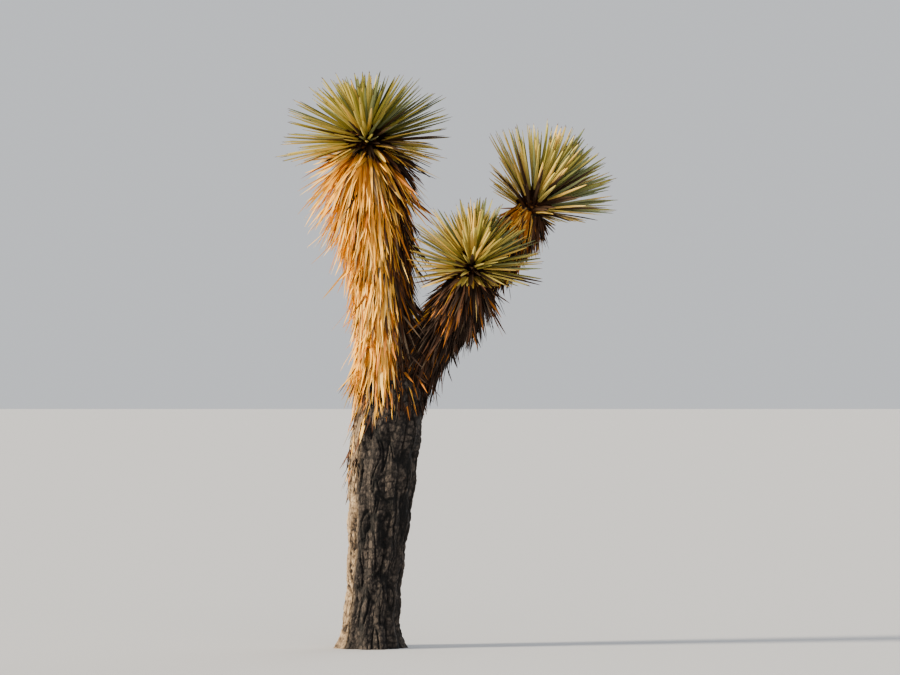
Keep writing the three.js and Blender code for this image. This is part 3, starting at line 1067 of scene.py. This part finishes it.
skirtRule = {
    "rootDepth": 0.016,
    "droop": 0.3,
    "leastLift": 0.2,
    "spreadPower": 1.5,  # only the leaves near the head of a skirt stand wide
    "spreadScatter": 22,
    "turnScatter": 0.5,
    "lengthScatter": 0.36,
    "width": 0.016,
    "widths": (0.65, 1.25),
    "thickness": 0.003,
    "thicknesses": (0.7, 1.2),
    "tilting": 0.35,  # how far a leaf's upper side may look another way than out
    "sags": (0, 0.16),
    "wander": 0.075,
    "twist": 1.0,
    "lifts": 5,
    "lift": 0.12,
    "clearFrom": 1,  # the station from which a leaf has to be clear of the wood
    "liftBelow": 0.004,
    "leastClear": 0.001,
    "strayShare": 0.05,
    "strayAngle": 38,
    "clumpsAround": 6,
    "clumpRise": 9,
    "clumpSpread": 0.32,
    "clumpSkin": 0.010,
    "clumpLength": 0.14,
    "clumpSeed": 5,
    "patchRise": 14,
    "patchStart": 70,
    "patchTint": [0.7, -0.7, 0.7, -0.7, -0.7, -0.7],  # how strongly a patch has more of each tint
    "patchSeed": 6,
    "oldAtFoot": 0.45,
    "bleach": [1.6, 1.3, 0.2, -1.3, -0.3, -1.8],  # how strongly each tint keeps to the side of painted sunlight, and the dark straws to painted shade
    "layers": [  # places along the sleeve, depth in it, shares of the leaves, spread and length, and how dark
        # the inner layers and the collar under the rosette are darker: old leaves' colour and painted shade
        {"from": 0.02, "to": 0.97, "depth": 0.45, "share": 0.24, "spread": 0.45, "length": 0.8, "agedAndShaded": 0.8},
        {"from": 0.02, "to": 0.97, "depth": 0.75, "share": 0.34, "spread": 0.75, "length": 0.95, "agedAndShaded": 0.4},
        {"from": 0.02, "to": 0.97, "depth": 1.0, "share": 0.36, "spread": 1.0, "length": 1.0, "agedAndShaded": 0.0},
        {"from": 0.92, "to": 1.02, "depth": 0.8, "share": 0.06, "spread": 1.35, "length": 0.75, "agedAndShaded": 0.45},
    ],
}
coreForm = {
    "rings": 110,
    "sides": 120,
    "around": 34,
    "along": 22,
    "edge": (0.02, 0.5),
    "relief": 0.010,
    "sleeveShare": 0.55,
    "inset": 0.01,
    "endPace": 14,
}


def sleeveThickness(skirt, share):  # smooth steps from foot to middle to head
    within = (share - skirt["from"]) / (skirt["to"] - skirt["from"])
    foot, middle, head = skirt["sleeve"]
    lower = lerp(foot, middle, smoothstep(0, 0.5, within))
    upper = lerp(middle, head, smoothstep(0.5, 1, within))
    return np.where(within < 0.5, lower, upper)


def skirtLeaves(skirt, layer, rng):
    # Leaf i of n roots at height share (i + ½)/n of the layer and turn i times the golden angle. It points
    # out sin(spread) - along cos(spread) - droop up. A leaf too near the wood is lifted a few times, and left
    # out if it still touches. Slow noise round and along the sleeve makes clumps
    rule = skirtRule
    limb = limbs[skirt["limb"]]
    count = round(skirt["leaves"] * layer["share"])
    order = np.arange(count)
    within = lerp(layer["from"], layer["to"], (order + 0.5) / count)
    share = lerp(skirt["from"], skirt["to"], within)
    middle, along, side, back = limbFrame(limb, share)
    turn = order * goldenAngle + scatter(rng, count) * rule["turnScatter"]
    out = outwards(side, back, turn)
    clumps = rule["clumpsAround"]
    around = turn % (2 * np.pi) / (2 * np.pi) * clumps
    clump = valueNoise(around, share * rule["clumpRise"], clumps, skirt["seed"] + rule["clumpSeed"])
    up = share * rule["patchRise"] + rule["patchStart"]
    patch = valueNoise(around, up, clumps, skirt["seed"] + rule["patchSeed"])
    stray = rng.uniform(0, 1, count) < rule["strayShare"]
    widening = np.maximum(within, 0) ** rule["spreadPower"]
    spread = lerp(skirt["spread"][0], skirt["spread"][1], widening) * layer["spread"]
    spread = spread * (1 + rule["clumpSpread"] * clump) + stray * rule["strayAngle"]
    spread = np.radians(spread + scatter(rng, count) * rule["spreadScatter"])
    hang = along * np.cos(spread)[:, None] + rule["droop"] * upWay
    direction = unit(out * np.sin(spread)[:, None] - hang)
    leastLift = rule["leastLift"] * layer["spread"]
    direction = unit(direction + out * np.maximum(leastLift - dot(direction, out), 0))
    skin = limbRadius(limb, share) + sleeveThickness(skirt, share) * layer["depth"]
    skin = skin + rule["clumpSkin"] * clump * layer["depth"]
    length = skirt["leafLength"] * layer["length"] * (1 + scatter(rng, count) * rule["lengthScatter"])
    length = length * (1 + rule["clumpLength"] * clump)
    patchy = 1 + rule["patchTint"] * patch[:, None]
    agedAndShaded = layer["agedAndShaded"] + rule["oldAtFoot"] * (1 - within) * rng.uniform(0, 1, count)
    agedAndShaded = np.clip(agedAndShaded, 0, 1)[:, None]
    weights = lerp(np.array(skirt["tints"]) * patchy, np.array(skirt["oldTints"]), agedAndShaded)
    # Painted light: pale straws lean to the left, sunlit side and dark straws to the other
    weights = weights * np.exp(skirt["bleached"] * paintedSunlight(out) * rule["bleach"])
    leaves = {
        "root": middle + out * (skin - rule["rootDepth"])[:, None],
        "direction": direction,
        "upper": unit(out + rng.normal(0, rule["tilting"], (count, 3))),
        "length": length,
        **ownForms(rule, rng, count),
        "tint": dealTints(weights, rng),
    }
    for _ in range(rule["lifts"]):
        tooNear = leastClearance(leaves, deadForm, rule["clearFrom"]) < rule["liftBelow"]
        leaves["direction"] = unit(leaves["direction"] + out * rule["lift"] * tooNear[:, None])
    return keepOnly(leaves, leastClearance(leaves, deadForm, rule["clearFrom"]) > rule["leastClear"])


def makeThatchCore(name, skirt):
    # (turn, within) -> middle + (limb radius + depth thickness taper + packed leaf bases) out
    limb = limbs[skirt["limb"]]
    turn, within = surfaceGrid(coreForm["rings"], coreForm["sides"])
    share = lerp(skirt["from"], skirt["to"], within)
    middle, along, side, back = limbFrame(limb, share)
    taper = np.sqrt(np.clip(within * (1 - within) * coreForm["endPace"], 0, 1))
    depth, tone = leafBases(coreForm, turn, within, skirt["seed"])
    thickness = sleeveThickness(skirt, share) * coreForm["sleeveShare"] + coreForm["relief"] * depth
    radius = limbRadius(limb, share) - coreForm["inset"] + thickness * taper
    grid = middle + radius[..., None] * outwards(side, back, turn)
    makeTube(name + "_core", [], "dead_leaf", grid, thatchFinish, relief=depth * baseShade, tone=tone)


for name, skirt in skirts.items():
    rng = np.random.default_rng(skirt["seed"])
    leaves = joinLeaves([skirtLeaves(skirt, layer, rng) for layer in skirtRule["layers"]])
    makeLeaves(name + "_leaves", [name], leaves, deadForm)
    makeThatchCore(name, skirt)
print("skirts made")

# Old leaves that still cling to the trunk under the skirts
remnants = {
    "leaves": 620,
    "highest": 1.375,
    "lowest": 0.80,
    "rightReach": 0.08,  # how far down they grow on the right, as a share of the left
    "reachPower": 4.0,
    "crowding": 2.0,  # how strongly they gather at the top
    "lengths": (0.07, 0.2),
    "lowestLength": 0.12,  # the longest one far down
    "rootDepth": 0.002,
    "spread": (5, 26),
    "sideways": 0.16,
    "width": 0.013,
    "widths": (0.6, 1.2),
    "thickness": 0.003,
    "thicknesses": (0.7, 1.2),
    "tilting": 0.3,
    "sags": (0, 0.1),
    "wander": 0.05,
    "twist": 0.8,
    "clearFrom": 2,
    "leastClear": -0.004,
    "highTints": [0.12, 0.06, 0.24, 0.34, 0.04, 0.2],
    "lowTints": [0.0, 0.0, 0.04, 0.32, 0.26, 0.38],
    "bleached": 0.7,
    "seed": 37,
}


def remnantLeaves(rng):
    # Roots on the trunk's skin at height highest + (lowest - highest) reach u^crowding, pointing down and
    # slightly out. The reach goes from rightReach at the right to 1 at the left by ((1 - cos turn) / 2)^power
    rule = remnants
    count = rule["leaves"]
    fall = rng.uniform(0, 1, count) ** rule["crowding"]
    turn = rng.uniform(0, 2 * np.pi, count)
    reach = lerp(rule["rightReach"], 1, ((1 - np.cos(turn)) / 2) ** rule["reachPower"])
    height = lerp(rule["highest"], rule["lowest"], fall * reach)
    out = np.stack([np.cos(turn), np.sin(turn), np.zeros(count)], -1)
    spread = np.radians(rng.uniform(*rule["spread"], count))
    sideways = np.cross(out, upWay) * rng.normal(0, rule["sideways"], count)[:, None]
    shortest, longest = rule["lengths"]
    weights = lerp(np.array(rule["highTints"]), np.array(rule["lowTints"]), np.sqrt(fall)[:, None])
    # Painted light: pale straws lean to the left, sunlit side and dark straws to the other
    weights = weights * np.exp(rule["bleached"] * paintedSunlight(out) * skirtRule["bleach"])
    skin = trunkRadius(height) + trunkRelief(turn, height) - rule["rootDepth"]
    return {
        "root": trunkMiddle(height) + skin[:, None] * out,
        "direction": unit(out * np.sin(spread)[:, None] - upWay * np.cos(spread)[:, None] + sideways),
        "upper": unit(out + rng.normal(0, rule["tilting"], (count, 3))),
        "length": rng.uniform(shortest, lerp(longest, rule["lowestLength"], fall)),
        **ownForms(rule, rng, count),
        "tint": dealTints(weights, rng),
    }


leaves = remnantLeaves(np.random.default_rng(remnants["seed"]))
leaves = keepOnly(leaves, leastClearance(leaves, deadForm, remnants["clearFrom"]) > remnants["leastClear"])
makeLeaves("trunk_old_leaves", [], leaves, deadForm)
print("old leaves on the trunk made")

# Floor, light and camera
studio = {
    "floorSize": 160.0,
    "eyeHeight": 1.6,
    "distance": 24.0,
    "middle": (0.415, 0.0, 1.5),
    "lens": 186.0,
    "farthest": 400,
    "floorColour": (0.52, 0.525, 0.54),
    "floorRoughness": 0.9,
    "skyColour": (0.83, 0.85, 0.88, 1),
    "skyStrength": 0.68,
}
suns = [
    {"name": "key", "place": (-9, -2.5, 5.1), "strength": 7, "spread": 8, "colour": (1, 0.88, 0.69)},
    {"name": "fill", "place": (3, -13, 6), "strength": 0.75, "spread": 60, "colour": (1, 0.97, 0.93)},
    {"name": "rim", "place": (8, 9, 6), "strength": 0.8, "spread": 50, "colour": (0.93, 0.96, 1)},
]


def makeFloor():
    half = studio["floorSize"] / 2
    corners = [(-half, -half, 0), (half, -half, 0), (half, half, 0), (-half, half, 0)]
    mesh = bpy.data.meshes.new("floor")
    mesh.from_pydata(corners, [], [(0, 1, 2, 3)])
    mesh.materials.append(plainFinish("pale floor", studio["floorColour"], studio["floorRoughness"])[0])
    floor = bpy.data.objects.new("floor", mesh)
    bpy.context.scene.collection.objects.link(floor)


def addSun(name, place, strength, spread, colour):
    lamp = bpy.data.lights.new(name, "SUN")
    lamp.energy = strength
    lamp.angle = math.radians(spread)
    lamp.color = colour
    light = bpy.data.objects.new(name, lamp)
    light.location = place
    light.rotation_euler = (Vector(studio["middle"]) - Vector(place)).to_track_quat("-Z", "Y").to_euler()
    bpy.context.scene.collection.objects.link(light)


makeFloor()
for sun in suns:
    addSun(**sun)
world = bpy.data.worlds.new("studio")
world.use_nodes = True
world.node_tree.nodes["Background"].inputs["Color"].default_value = studio["skyColour"]
world.node_tree.nodes["Background"].inputs["Strength"].default_value = studio["skyStrength"]
bpy.context.scene.world = world
bpy.context.scene.view_settings.look = "AgX - Medium High Contrast"

lens = bpy.data.cameras.new("eye level")
lens.lens = studio["lens"]
lens.clip_end = studio["farthest"]
camera = bpy.data.objects.new("eye level", lens)
camera.location = (studio["middle"][0], -studio["distance"], studio["eyeHeight"])
camera.rotation_euler = (math.radians(90), 0, 0)
bpy.context.scene.collection.objects.link(camera)
bpy.context.scene.camera = camera
print("stage, light and camera made")
